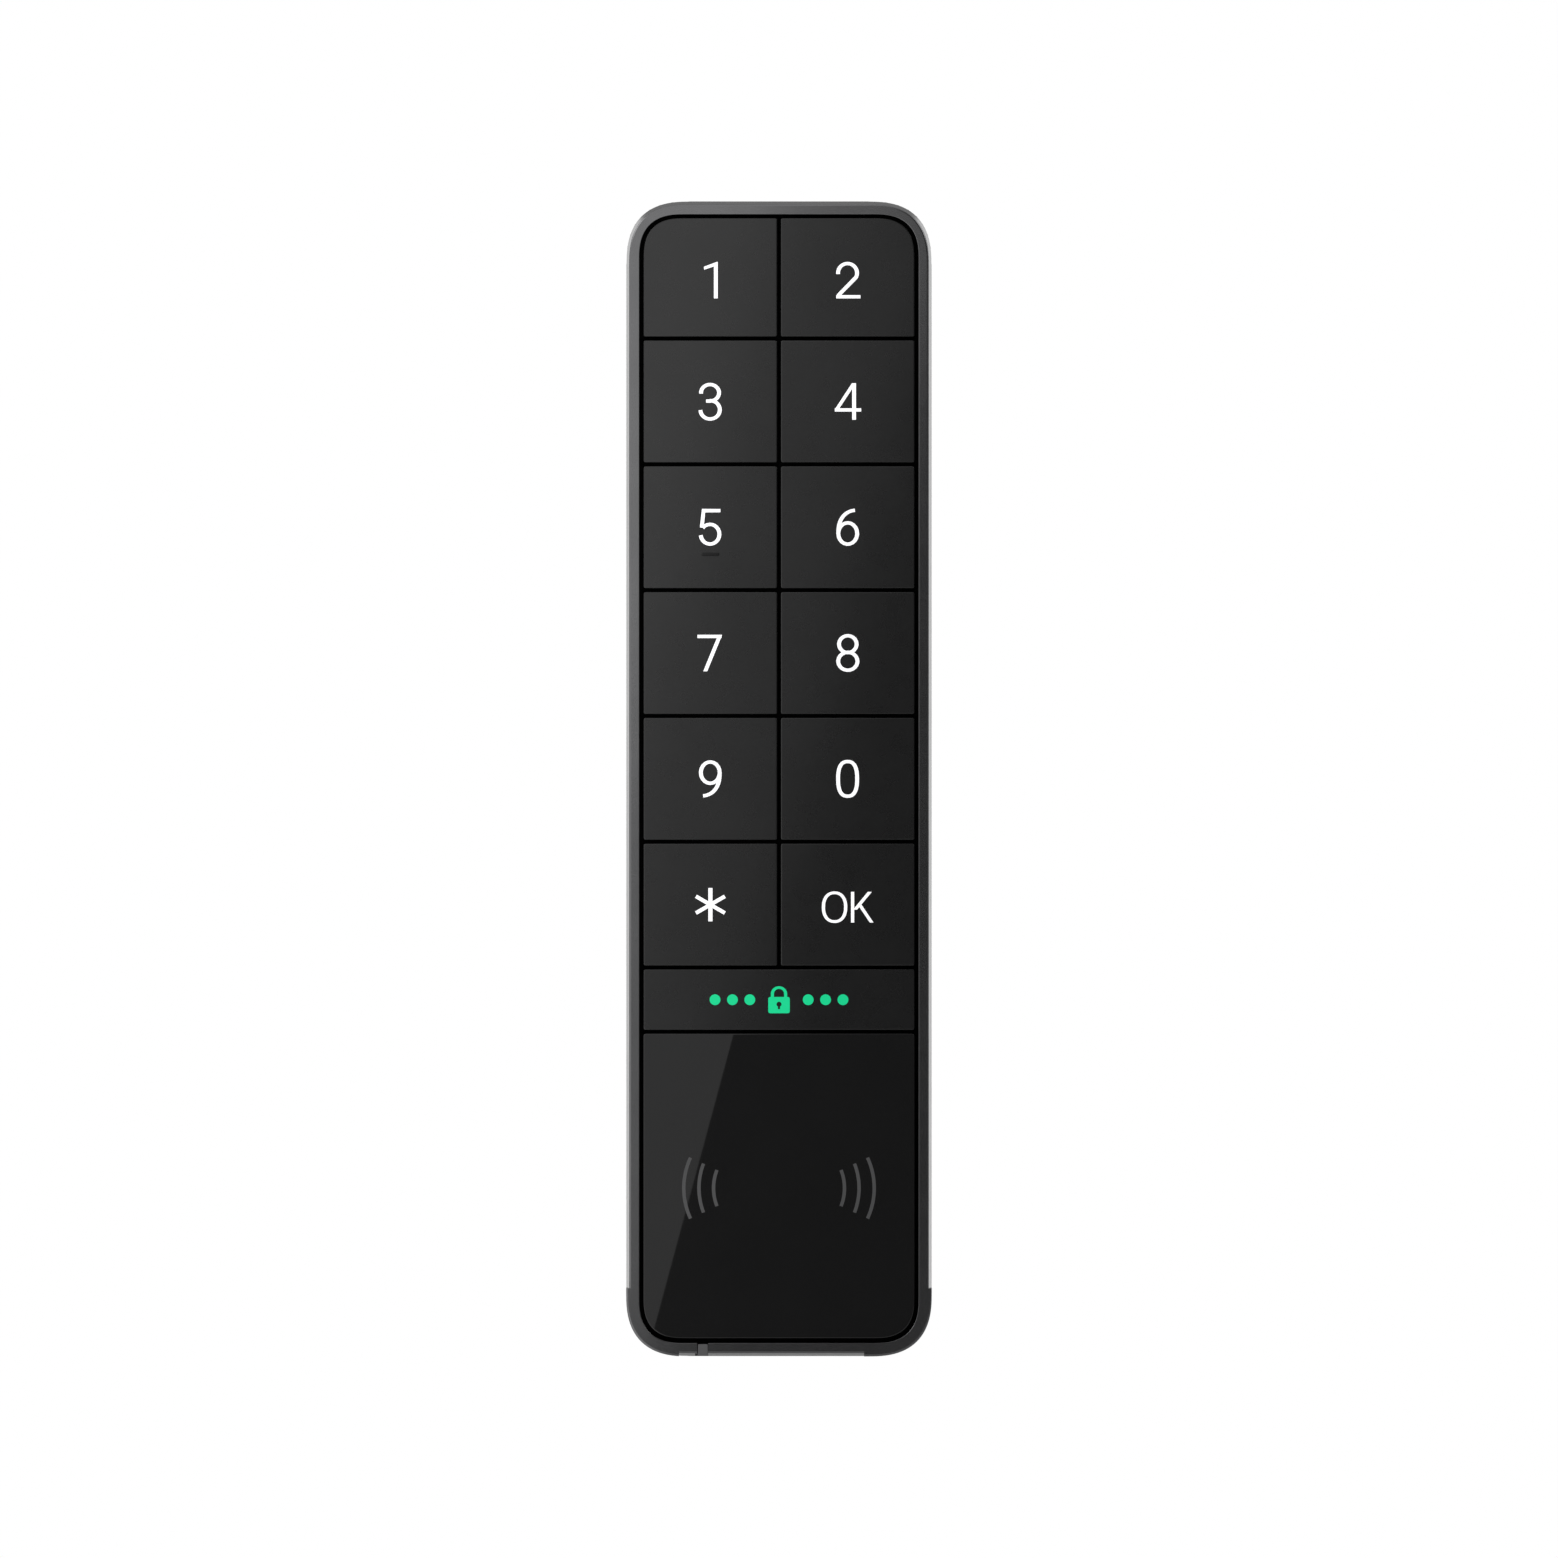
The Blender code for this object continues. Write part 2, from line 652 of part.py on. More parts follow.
def make_board_screws():
    screws = []
    head_rear = PARTS_ON_BOARD + 1.3
    for row, z in enumerate(POST_ROWS):
        profile = [
            (-18.9, 0.4),
            (-18.6, 0.8),
            (PARTS_ON_BOARD, 0.8),
            (PARTS_ON_BOARD, 2.0),
            (head_rear, 2.0),
        ]
        screw = turned(f"board_screw_{row + 1}", 0, z, profile)
        slotted(screw, 0, z, 2.0, head_rear)
        screws.append(finish(screw, "steel"))
    return screws


# Rear cover and what it carries


def make_rear_cover():
    outline = frame_outline(RIM + SHELL_WALL + GAP)
    cover = slab("rear_cover", outline, COVER_FRONT, SHELL_BACK)
    lug = block("hold_lug", (-3.5, 3.5), (SHELL_BACK - 0.7, TRAY_FLOOR - GAP), (-79.5, -73.5))
    join(cover, lug)
    thread = [(HOLD_BOSS_TOP - 1, SCREW_HOLE), (-74.0, SCREW_HOLE)]
    cut(cover, turned_upright("lug_hole", 0, HOLD_Y, thread))
    for row, z in enumerate(HOOK_ROWS):
        for side in (-1, 1):
            x = side * HOOK_X
            add_hook_socket(cover, f"{row}_{side}", x, z)
    for row, z in enumerate(BOSS_ROWS):
        for side in (-1, 1):
            hole = [
                (COVER_FRONT - 1, SCREW_HOLE),
                (SHELL_BACK - 1.5, SCREW_HOLE),
                (SHELL_BACK - 1.5, 2.4),
                (SHELL_BACK + 1, 2.4),
            ]
            cut(cover, turned(f"cover_hole_{row}_{side}", side * BOSS_X, z, hole))
    add_lips(cover)
    for name, z, radius in (
        ("grommet", CABLE_Z, GROMMET_HOLE),
        ("vent", VENT_Z, VENT_HOLE),
        ("tamper", TAMPER_Z, TAMPER_HOLE),
    ):
        hole = [(COVER_FRONT - 1, radius), (SHELL_BACK + 1, radius)]
        cut(cover, turned(name + "_hole", 0, z, hole))
    return finish(cover, "satin_black")


def add_hook_socket(cover, name, x, z):
    """Closed pocket that takes a hook's lip, with its mouth below the hook."""
    play = 0.4
    wall = 0.9
    low = z - LIFT - 1.0
    high = z + HOOK_LIP + play
    front = HOOK_LIP_FRONT - play
    half = HOOK_HALF + play
    sides = (x - half - wall, x + half + wall)
    shell = block("socket_" + name, sides, (front - wall, COVER_FRONT + 0.5), (low - wall, high + wall))
    hollow = block("socket_hollow_" + name, (x - half, x + half), (front, COVER_FRONT), (low, high))
    mouth_top = z + HOOK_NECK + GAP
    mouth = block(
        "socket_mouth_" + name,
        (x - half, x + half),
        (COVER_FRONT - 0.5, SHELL_BACK + 1),
        (low, mouth_top),
    )
    join(cover, shell)
    cut(cover, hollow, mouth)


def add_lips(cover):
    """Thin ribs that reach into the tray and close the line between housing and bracket."""
    half_width = HALF_WIDTH - RIM - SHELL_WALL - GAP
    places = [((side * (half_width - LIP / 2)), 0, LIP / 2, 70.0) for side in (-1, 1)]
    places.append((0, LIP_TOP - LIP / 2, 13.0, LIP / 2))
    places += [(side * 10.7, LIP_BOTTOM + LIP / 2, 6.3, LIP / 2) for side in (-1, 1)]
    for index, (x, z, half_x, half_z) in enumerate(places):
        outline = centred(x, z, half_x, half_z)
        join(cover, slab(f"lip_{index}", outline, SHELL_BACK - 0.5, SHELL_BACK + LIP_DEPTH))


def make_cover_gasket():
    gasket = slab("cover_gasket", frame_outline(RIM + SHELL_WALL + GAP), GASKET_FRONT, GASKET_BACK)
    middle = frame_outline(RIM + SHELL_WALL + GAP + 1.0)
    cut(gasket, slab("gasket_middle", middle, GASKET_FRONT - 1, GASKET_BACK + 1))
    return finish(gasket, "rubber")


def make_cable_grommet():
    neck = GROMMET_HOLE - GAP
    flange = 5.5
    profile = [
        (COVER_FRONT - GAP - 1.2, flange),
        (COVER_FRONT - GAP, flange),
        (COVER_FRONT - GAP, neck),
        (SHELL_BACK + GAP, neck),
        (SHELL_BACK + GAP, flange),
        (SHELL_BACK + GAP + 1.0, flange),
        (SHELL_BACK + GAP + 1.0, 2.4),
        (SHELL_BACK - 1.0, 2.2),
    ]
    return finish(turned("cable_grommet", 0, CABLE_Z, profile), "rubber")


def make_vent_plug():
    profile = [
        (COVER_FRONT - GAP - 1.0, 3.6),
        (COVER_FRONT - GAP, 3.6),
        (COVER_FRONT - GAP, VENT_HOLE - GAP),
        (SHELL_BACK - GAP, VENT_HOLE - GAP),
    ]
    return finish(turned("vent_plug", 0, VENT_Z, profile), "silicone")


def make_cover_screws():
    screws = []
    head_front = SHELL_BACK - 1.5 + GAP
    head_rear = SHELL_BACK - 0.2
    places = [(side * BOSS_X, z) for z in BOSS_ROWS for side in (-1, 1)]
    for index, (x, z) in enumerate(places):
        profile = [
            (-15.5, SCREW_SHANK / 2),
            (-15.1, SCREW_SHANK),
            (head_front, SCREW_SHANK),
            (head_front, 2.1),
            (head_rear, 2.1),
        ]
        screw = turned(f"cover_screw_{index + 1}", x, z, profile)
        slotted(screw, x, z, 2.1, head_rear)
        screws.append(finish(screw, "steel"))
    return screws


def make_tamper_plunger():
    pin = TAMPER_HOLE - GAP
    front = TAMPER_SWITCH_BACK + 1.1
    profile = [
        (front, 2.0),
        (COVER_FRONT - GAP, 2.0),
        (COVER_FRONT - GAP, pin),
        (TRAY_FLOOR - GAP - 0.4, pin),
        (TRAY_FLOOR - GAP, pin - 0.5),
    ]
    plunger = turned("tamper_plunger", 0, TAMPER_Z, profile)
    set_origin(plunger, 0, COVER_FRONT, TAMPER_Z)
    return finish(plunger, "silicone")


def carry(pieces):
    """Hangs the reader's pieces on an empty on the line along which the reader lifts off."""
    spot = Vector((0, SHELL_BACK, 0)) * MM
    slide = bpy.data.objects.new("reader_slide", None)
    slide.location = spot
    bpy.context.scene.collection.objects.link(slide)
    for piece in pieces:
        piece.parent = slide
        piece.matrix_parent_inverse = Matrix.Translation(-spot)


def main():
    clear_scene()
    make_wall_bracket()
    make_holding_screw()
    pieces = [make_front_housing(), make_light_sensor_window(), make_status_bar(), make_reader_pad()]
    pieces += make_keys()
    pieces += [make_key_mat(), make_main_board(), make_buzzer()]
    pieces += make_status_lights()
    pieces += make_antenna()
    pieces += make_terminal_block()
    pieces += make_board_parts()
    pieces += make_board_screws()
    pieces += [make_rear_cover(), make_cover_gasket(), make_cable_grommet(), make_vent_plug()]
    pieces += make_cover_screws()
    pieces += [make_tamper_plunger()]
    carry(pieces)


main()
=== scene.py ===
"""Looks of the wall-mounted card reader: finer surfaces, printed signs, materials, light and camera.

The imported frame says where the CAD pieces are, and the constants shape what is finer than they
are. Sizes are in millimetres until they become vertices, and in metres for the studio.
"""

import json
import math

import bmesh
import bpy
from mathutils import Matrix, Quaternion, Vector


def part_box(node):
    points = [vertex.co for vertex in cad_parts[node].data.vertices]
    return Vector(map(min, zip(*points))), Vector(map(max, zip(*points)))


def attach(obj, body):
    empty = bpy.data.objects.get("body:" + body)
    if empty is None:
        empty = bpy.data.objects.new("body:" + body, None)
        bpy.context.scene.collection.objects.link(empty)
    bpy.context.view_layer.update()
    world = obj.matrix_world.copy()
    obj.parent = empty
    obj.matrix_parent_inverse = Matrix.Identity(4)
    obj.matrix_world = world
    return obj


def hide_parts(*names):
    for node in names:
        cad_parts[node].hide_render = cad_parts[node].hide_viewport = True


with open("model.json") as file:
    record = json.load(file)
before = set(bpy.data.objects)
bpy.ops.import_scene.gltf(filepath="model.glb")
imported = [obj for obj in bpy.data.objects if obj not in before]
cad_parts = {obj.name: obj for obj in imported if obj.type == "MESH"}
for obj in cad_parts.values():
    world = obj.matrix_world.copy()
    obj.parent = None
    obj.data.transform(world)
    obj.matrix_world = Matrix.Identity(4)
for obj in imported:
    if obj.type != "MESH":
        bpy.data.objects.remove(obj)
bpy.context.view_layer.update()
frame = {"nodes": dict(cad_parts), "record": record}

MM = 0.001

# Shape of the reader, as in the CAD model
CORNER = 9.2
CORNER_POWER = 2.6
FIELD_CORNER = 5.8
RIM = 0.42  # draft of the housing's sides: how much further out they are at the back
END_RIM = 0.58  # the same for its top and bottom ends
BEZEL = 1.48
WELL_CORNER = 6.45
EAR_TOP = -73.32
EAR_ENDS = (12.25, 14.4)  # how far from the middle the right and left ears start
EAR_RISE = 0.12  # how much higher the ears end than the bottom edge between them
SHELL_WALL = 1.6
RIM_GAP = 0.3  # open line between the housing and the bracket's rim
WEB_FRONT = -20.9
WEB_BACK = -19.8
CAP_BACK = -22.0

# Finer shapes than in the CAD model
SMALL_CORNER = 0.35
LEAST_CORNER = 0.08
CORNER_STEPS = 24
SMALL_CORNER_STEPS = 4
EAR_STEPS = (0, 2)  # how many points of the corner curve lie before the right and left ears start
STEP_LEAN = 0.05  # how far the ears' steps shift for each millimetre that an outline is moved in
FILLET_STEPS = 5
BEZEL_FILLET = 0.3
WELL_FILLET = 0.08
CAP_FILLET = 0.16
PAD_FILLET = 0.1
PAD_BACK = -21.3
SHARP_ANGLE = math.radians(35)
MERGE_DISTANCE = 1e-6  # in metres

# Signs
PRINT_HEIGHT = 0.02
PRINT_ROOT = 0.05  # how deep the prints reach into the face
LAYER = 0.002  # how much higher each part of a sign is than the one before
DIGIT_HEIGHT = 5.25
DIGIT_STROKE = 0.55
WORD_HEIGHT = 4.42
WORD_STROKE = 0.46
STAR_STROKE = 0.6
WAVE_STROKE = 0.5
FLAT_STROKE = 0.85  # how thick a level stroke is, as part of an upright one
SIGN_X = 9.87  # how far from the middle the signs of the keys are
TOP_ROW_DROP = 0.4  # how much lower than the middle of their keys the 1 and the 2 are
RIDGE_DROP = 3.9


def box_mm(node):
    """Low and high corners of a CAD node, in millimetres."""
    low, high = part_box(node)
    return [value / MM for value in low], [value / MM for value in high]


bracket_low, bracket_high = box_mm("wall_bracket")
shell_low, shell_high = box_mm("front_housing")
HALF_WIDTH = bracket_high[0]
HALF_HEIGHT = bracket_high[2]
SHELL_FRONT = shell_low[1]
SHELL_BACK = shell_high[1]
FACE = box_mm("key_1")[0][1]


# Outlines in the XZ plane, anticlockwise seen from the front


def superellipse(angle, power):
    """Point of a superellipse of size 1 about the origin."""
    reach = (math.cos(angle), math.sin(angle))
    return [math.copysign(abs(value) ** (2 / power), value) for value in reach]


def corner_points(centre, size, quarter, steps=CORNER_STEPS):
    """Superellipse corner, where quarter 0 is the upper right and quarters run anticlockwise."""
    points = []
    for step in range(steps + 1):
        reach = superellipse(math.radians(90 * (quarter + step / steps)), CORNER_POWER)
        points.append((centre[0] + size * reach[0], centre[1] + size * reach[1]))
    return points


def rounded(left, right, bottom, top, corners):
    """Rectangle with corners at the upper right, upper left, lower left and lower right."""
    points = []
    sides = ((right, top), (left, top), (left, bottom), (right, bottom))
    inward = ((-1, -1), (1, -1), (1, 1), (-1, 1))
    for quarter, (side, way, size) in enumerate(zip(sides, inward, corners)):
        steps = CORNER_STEPS if size > 1.0 else SMALL_CORNER_STEPS
        centre = (side[0] + way[0] * size, side[1] + way[1] * size)
        points += corner_points(centre, size, quarter, steps)
    return points


def ring(half_width, bottom, top, corner, ear_width, ear_bottom, ear_corner):
    """Upright outline whose two lower corners, the ears, have a width and a foot of their own.

    The steps where they start lean a little from one outline to the next, so that every face
    between two outlines has some area.
    """
    lean = STEP_LEAN * (HALF_WIDTH - ear_width)
    body = corner_points((half_width - corner, bottom + corner), corner, 3)
    ear = corner_points((ear_width - ear_corner, ear_bottom + ear_corner), ear_corner, 3)
    sides = []
    for ear_end, steps in zip(EAR_ENDS, EAR_STEPS):
        start = min(ear_end + lean, body[steps][0])
        if steps:
            start = max(start, body[steps - 1][0])
        side = body[:steps]
        side += [(start, foot_height(start, body)), (start, foot_height(start, ear))]
        side += ear[steps:]
        side += [(ear_width, EAR_TOP - lean), (half_width, EAR_TOP - lean)]
        side += corner_points((half_width - corner, top - corner), corner, 0)
        sides.append(side)
    right, left = sides
    return right + [(-x, z) for x, z in reversed(left)]


def foot_height(x, corner):
    """Height of the bottom edge at x, level up to the first point of the corner."""
    for (near_x, near_z), (far_x, far_z) in zip(corner, corner[1:]):
        if x < far_x:
            share = max(x - near_x, 0) / (far_x - near_x)
            return near_z + share * (far_z - near_z)


def shell_outline(inset, ear_inset):
    """Outline of the housing moved inwards, by another amount at the ears."""
    half_height = HALF_HEIGHT - inset - (END_RIM - RIM) * min(inset / RIM, 1)
    body = (HALF_WIDTH - inset, -half_height, half_height, CORNER - inset)
    ear_bottom = -HALF_HEIGHT + EAR_RISE + ear_inset
    ear = (HALF_WIDTH - ear_inset, ear_bottom, CORNER - ear_inset)
    return ring(*body, *ear)


def well_outline(grow):
    """Outline of the well that holds the keys and panels."""
    half_width = HALF_WIDTH - RIM - BEZEL + grow
    half_height = HALF_HEIGHT - END_RIM - BEZEL + grow
    corner = WELL_CORNER + grow
    return ring(half_width, -half_height, half_height, corner, half_width, -half_height, corner)


def circle(x, z, radius, sides=32):
    """Round outline."""
    turns = [2 * math.pi * side / sides for side in range(sides)]
    return [(x + radius * math.cos(turn), z + radius * math.sin(turn)) for turn in turns]


# Meshes


def clean(shape):
    """Joins points that coincide and dissolves faces that have no area."""
    bmesh.ops.remove_doubles(shape, verts=shape.verts, dist=MERGE_DISTANCE)
    bmesh.ops.dissolve_degenerate(shape, edges=shape.edges, dist=MERGE_DISTANCE)


def make_piece(name, shape, body, materials):
    """Turns a bmesh into a piece that rides on a body."""
    clean(shape)
    bmesh.ops.recalc_face_normals(shape, faces=shape.faces)
    mesh = bpy.data.meshes.new(name)
    shape.to_mesh(mesh)
    shape.free()
    for material in materials:
        mesh.materials.append(material)
    mesh.shade_smooth()
    mesh.set_sharp_from_angle(angle=SHARP_ANGLE)
    piece = bpy.data.objects.new(name, mesh)
    bpy.context.scene.collection.objects.link(piece)
    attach(piece, body)
    return piece


def add_loft(shape, sections):
    """Adds a closed solid through (depth, outline) sections.

    Returns the faces of its first end and of the walls next to that end.
    """
    loops = []
    for depth, outline in sections:
        loops.append([shape.verts.new(Vector((x, depth, z)) * MM) for x, z in outline])
    walls = []
    for near, far in zip(loops, loops[1:]):
        for index in range(len(near)):
            after = (index + 1) % len(near)
            walls.append(shape.faces.new((near[index], near[after], far[after], far[index])))
    first_end = shape.faces.new(loops[0])
    shape.faces.new(loops[-1])
    return [first_end] + walls[: len(loops[0])]


def fillet(edge_depth, edge_inset, radius):
    """(depth, inset) pairs round a front edge, from the side wall to the face.

    A pair just before and one just after the rounding keep the flats beside it flat.
    """
    guard = 0.04
    pairs = [(edge_depth + radius + guard, edge_inset)]
    for step in range(FILLET_STEPS + 1):
        angle = math.radians(90 * step / FILLET_STEPS)
        depth = edge_depth + radius * (1 - math.sin(angle))
        pairs.append((depth, edge_inset + radius * (1 - math.cos(angle))))
    pairs.append((edge_depth, edge_inset + radius + guard))
    return pairs


def carve(piece, operation, shape, material=None):
    """Cuts a bmesh out of a piece, or keeps only what is inside it, for good."""
    bmesh.ops.recalc_face_normals(shape, faces=shape.faces)
    mesh = bpy.data.meshes.new("tool")
    shape.to_mesh(mesh)
    shape.free()
    mesh.materials.append(material or piece.data.materials[0])
    tool = bpy.data.objects.new("tool", mesh)
    bpy.context.scene.collection.objects.link(tool)
    step = piece.modifiers.new("carve", "BOOLEAN")
    step.object = tool
    step.operation = operation
    step.solver = "EXACT"
    step.material_mode = "TRANSFER"
    graph = bpy.context.evaluated_depsgraph_get()
    carved = bpy.data.meshes.new_from_object(piece.evaluated_get(graph))
    shape = bmesh.new()
    shape.from_mesh(carved)
    clean(shape)
    shape.to_mesh(carved)
    shape.free()
    piece.modifiers.clear()
    piece.data = carved
    piece.data.set_sharp_from_angle(angle=SHARP_ANGLE)
    bpy.data.objects.remove(tool)


def inset_box(low, high, corners, inset):
    """Front outline of a box with its own corners, moved inwards."""
    sizes = [max(size - inset, LEAST_CORNER) for size in corners]
    return rounded(low[0] + inset, high[0] - inset, low[2] + inset, high[2] - inset, sizes)


# Materials


def new_material(name):
    material = bpy.data.materials.new(name)
    material.use_nodes = True
    tree = material.node_tree
    return material, tree, tree.nodes["Principled BSDF"]


def noise(tree, coordinates, size_mm, detail=2.0):
    """Noise whose features are about size_mm across."""
    node = tree.nodes.new("ShaderNodeTexNoise")
    node.inputs["Scale"].default_value = 1 / (size_mm * MM)
    node.inputs["Detail"].default_value = detail
    tree.links.new(coordinates, node.inputs["Vector"])
    return node.outputs["Fac"]


def ranged(tree, value, low, high):
    """Spreads the middle of a noise's values over a range."""
    node = tree.nodes.new("ShaderNodeMapRange")
    node.inputs["From Min"].default_value = 0.3
    node.inputs["From Max"].default_value = 0.7
    node.inputs["To Min"].default_value = low
    node.inputs["To Max"].default_value = high
    tree.links.new(value, node.inputs["Value"])
    return node.outputs["Result"]


def ramp(tree, value, dark, light):
    """Turns a noise's values into a mix of two colours."""
    node = tree.nodes.new("ShaderNodeValToRGB")
    node.color_ramp.elements[0].position = 0.35
    node.color_ramp.elements[0].color = (*dark, 1)
    node.color_ramp.elements[1].position = 0.65
    node.color_ramp.elements[1].color = (*light, 1)
    tree.links.new(value, node.inputs["Fac"])
    return node.outputs["Color"]


def bump(tree, height, depth_mm, shader):
    node = tree.nodes.new("ShaderNodeBump")
    node.inputs["Distance"].default_value = depth_mm * MM
    tree.links.new(height, node.inputs["Height"])
    tree.links.new(node.outputs["Normal"], shader.inputs["Normal"])


def surface(name, dark, light, rough, grain=(0.2, 0.004), patch=9.0, metallic=0.0, specular=0.5):
    """Moulded, painted or metal surface: cloudy colour and gloss, with a fine grain."""
    material, tree, shader = new_material(name)
    place = tree.nodes.new("ShaderNodeTexCoord").outputs["Object"]
    clouds = noise(tree, place, patch, 3.0)
    tree.links.new(ramp(tree, clouds, dark, light), shader.inputs["Base Color"])
    gloss = noise(tree, place, patch / 3, 4.0)
    tree.links.new(ranged(tree, gloss, rough[0], rough[1]), shader.inputs["Roughness"])
    bump(tree, noise(tree, place, grain[0], 1.0), grain[1], shader)
    shader.inputs["Metallic"].default_value = metallic
    shader.inputs["Specular IOR Level"].default_value = specular
    return material


def print_with_painted_glow(name, dark, light, glow):
    """Printed sign whose colour is also given off as a painted glow, not light from a lamp."""
    material = surface(name, dark, light, (0.45, 0.55), grain=(0.15, 0.001))
    shader = material.node_tree.nodes["Principled BSDF"]
    shader.inputs["Emission Color"].default_value = (*light, 1)
    shader.inputs["Emission Strength"].default_value = glow
    return material


def grey(value):
    """Neutral grey with a trace of blue."""
    return (value, value, value * 1.02)


SHELL = surface("satin_graphite", grey(0.155), grey(0.168), (0.23, 0.27), metallic=1.0)
# Near black and barely glossy, far darker than the keys: painted shade on the well's floor and walls
# and in the sensor notch.
RECESS_PAINTED_SHADE = surface("recess_painted_shade", grey(0.0015), grey(0.002), (0.7, 0.8), specular=0.1)
KEY = surface("key_plastic", grey(0.009), grey(0.011), (0.26, 0.3))
PAD = surface(
    "pad_gloss", grey(0.008), grey(0.009), (0.02, 0.03), grain=(4.0, 0.0003), specular=0.69
)
# Black key plastic made darker and less glossy than the keys: painted shade, so the touch ridge reads
# as dark as its shadow.
RIDGE_PAINTED_SHADE = surface("ridge_black_painted_shade", grey(0.006), grey(0.008), (0.45, 0.55), specular=0.25)
# The signs' prints also glow in their own colours: painted light that keeps them bright whatever falls
# on them.
WHITE = print_with_painted_glow("legend_white", grey(0.7), grey(0.75), 0.9)
GREEN = print_with_painted_glow("sign_green", (0.0, 0.5, 0.2), (0.0, 0.55, 0.23), 0.6)
WAVE = print_with_painted_glow("wave_grey", grey(0.05), grey(0.06), 0.45)
BRACKET = surface("bracket_plastic", grey(0.02), grey(0.028), (0.5, 0.6), grain=(0.35, 0.02))
COVER = surface("cover_plastic", grey(0.014), grey(0.018), (0.45, 0.55), grain=(0.35, 0.02))
SMOKE = surface("smoke_window", grey(0.13), grey(0.15), (0.2, 0.3))
STEEL = surface("screw_steel", grey(0.5), grey(0.6), (0.25, 0.35), metallic=1.0)
TIN = surface("shield_tin", grey(0.55), grey(0.65), (0.3, 0.4), metallic=1.0)
COPPER = surface("copper_track", (0.7, 0.3, 0.14), (0.8, 0.38, 0.18), (0.3, 0.4), metallic=1.0)
RUBBER = surface("black_rubber", grey(0.02), grey(0.03), (0.8, 0.9))
SILICONE = surface("grey_silicone", grey(0.45), grey(0.55), (0.5, 0.6))
BOARD = surface("green_board", (0.008, 0.09, 0.03), (0.012, 0.12, 0.045), (0.35, 0.45))
TERMINAL = surface("green_moulding", (0.015, 0.13, 0.05), (0.02, 0.16, 0.06), (0.4, 0.5))
CHIP = surface("chip_black", grey(0.015), grey(0.022), (0.5, 0.6))
FERRITE = surface("ferrite_grey", grey(0.05), grey(0.07), (0.65, 0.75))
CLEAR = surface("clear_plastic", grey(0.6), grey(0.7), (0.1, 0.2))


# Housing and panels


def make_shell():
    """Housing: drafted sides, a rounded bezel, the key well in front and the hollow behind.

    Behind the back edge a land almost reaches the bracket's rim, which leaves a groove all round.
    """
    inner_inset = RIM + SHELL_WALL
    flush = 0.01  # what keeps the sides just inside the CAD model
    back_edge = 0.2
    sections = [(WEB_FRONT, well_outline(0))]
    for depth, shift in fillet(SHELL_FRONT, 0, WELL_FILLET):
        sections.append((depth, well_outline(shift)))
    for depth, inset in reversed(fillet(SHELL_FRONT, RIM, BEZEL_FILLET)):
        sections.append((depth, shell_outline(inset, inset - RIM + flush / 2)))
    sections.append((SHELL_BACK - back_edge, shell_outline(2 * flush, flush)))
    land_back = SHELL_BACK + RIM_GAP - 0.03
    land_inset = 0.45
    for depth, inset in (
        (SHELL_BACK, flush + back_edge),
        (SHELL_BACK, land_inset),
        (land_back, land_inset),
        (land_back, inner_inset),
        (WEB_BACK, inner_inset),
    ):
        sections.append((depth, shell_outline(inset, inset)))
    shape = bmesh.new()
    # The well's floor and the walls next to it get the near-black painted shade.
    for well_face in add_loft(shape, sections):
        well_face.material_index = 1
    shell = make_piece("housing_shell", shape, "reader", [SHELL, RECESS_PAINTED_SHADE])
    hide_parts("front_housing")
    cut_sensor_notch(shell)


def cut_sensor_notch(shell):
    """Cuts the slot of the light sensor window, and a groove that runs from its foot to the back;
    their cut faces get near-black painted shade.
    """
    low, high = box_mm("light_sensor_window")
    slot_margin = 0.12
    groove_margin = 0.42
    groove_rise = 0.06
    room_behind = 0.3
    right = high[0] + 0.03
    below = low[2] - 2
    slot = (low[0] - slot_margin, high[2] + 1, high[1] + room_behind)
    groove = (low[0] - groove_margin, low[2] + groove_rise, SHELL_BACK + 1)
    for left, top, back in (slot, groove):
        outline = [(left, below), (right, below), (right, top), (left, top)]
        shape = bmesh.new()
        add_loft(shape, [(SHELL_FRONT - 1, outline), (back, outline)])
        carve(shell, "DIFFERENCE", shape, RECESS_PAINTED_SHADE)


def make_sensor_lens():
    """Light sensor window: a small bar with rounded front edges, down to the edge of the foot."""
    low, high = box_mm("light_sensor_window")
    low[2] -= 0.22
    shape = bmesh.new()
    add_loft(shape, cap_sections(low, high, [0.12] * 4, low[1], high[1], 0.05))
    lens = make_piece("sensor_lens", shape, "reader", [SMOKE])
    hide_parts("light_sensor_window")


def cap_sections(low, high, corners, front, back, radius):
    """Sections of a flat panel whose front edges are rounded."""
    sections = [(back, inset_box(low, high, corners, 0))]
    for depth, inset in fillet(front, 0, radius):
        sections.append((depth, inset_box(low, high, corners, inset)))
    return sections


def make_cap(node, name, body, corners, material, radius=CAP_FILLET, back=CAP_BACK):
    """Flat panel in the place of a CAD panel."""
    low, high = box_mm(node)
    shape = bmesh.new()
    add_loft(shape, cap_sections(low, high, corners, max(low[1], FACE), back, radius))
    cap = make_piece(name, shape, body, [material])
    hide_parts(node)


# Wall bracket

POCKET_DEPTH = 0.7
POCKET_LAND = 2.75
POCKET_RIB = 1.4
POCKET_ROWS = 10
POCKET_CORNER = 0.9
POCKET_COLUMNS = ((-19.25, -7.3), (-5.9, 5.9), (7.3, 19.25))
SOLID_ROWS = (0, 3, 4, 9)  # rows whose middle stays solid, round the screw holes and the window
ARROW_HALF_WIDTH = 2.8
ARROW_FOOT = 74.2
ARROW_TIP = 78.8
WALL_CHAMFER = 0.4


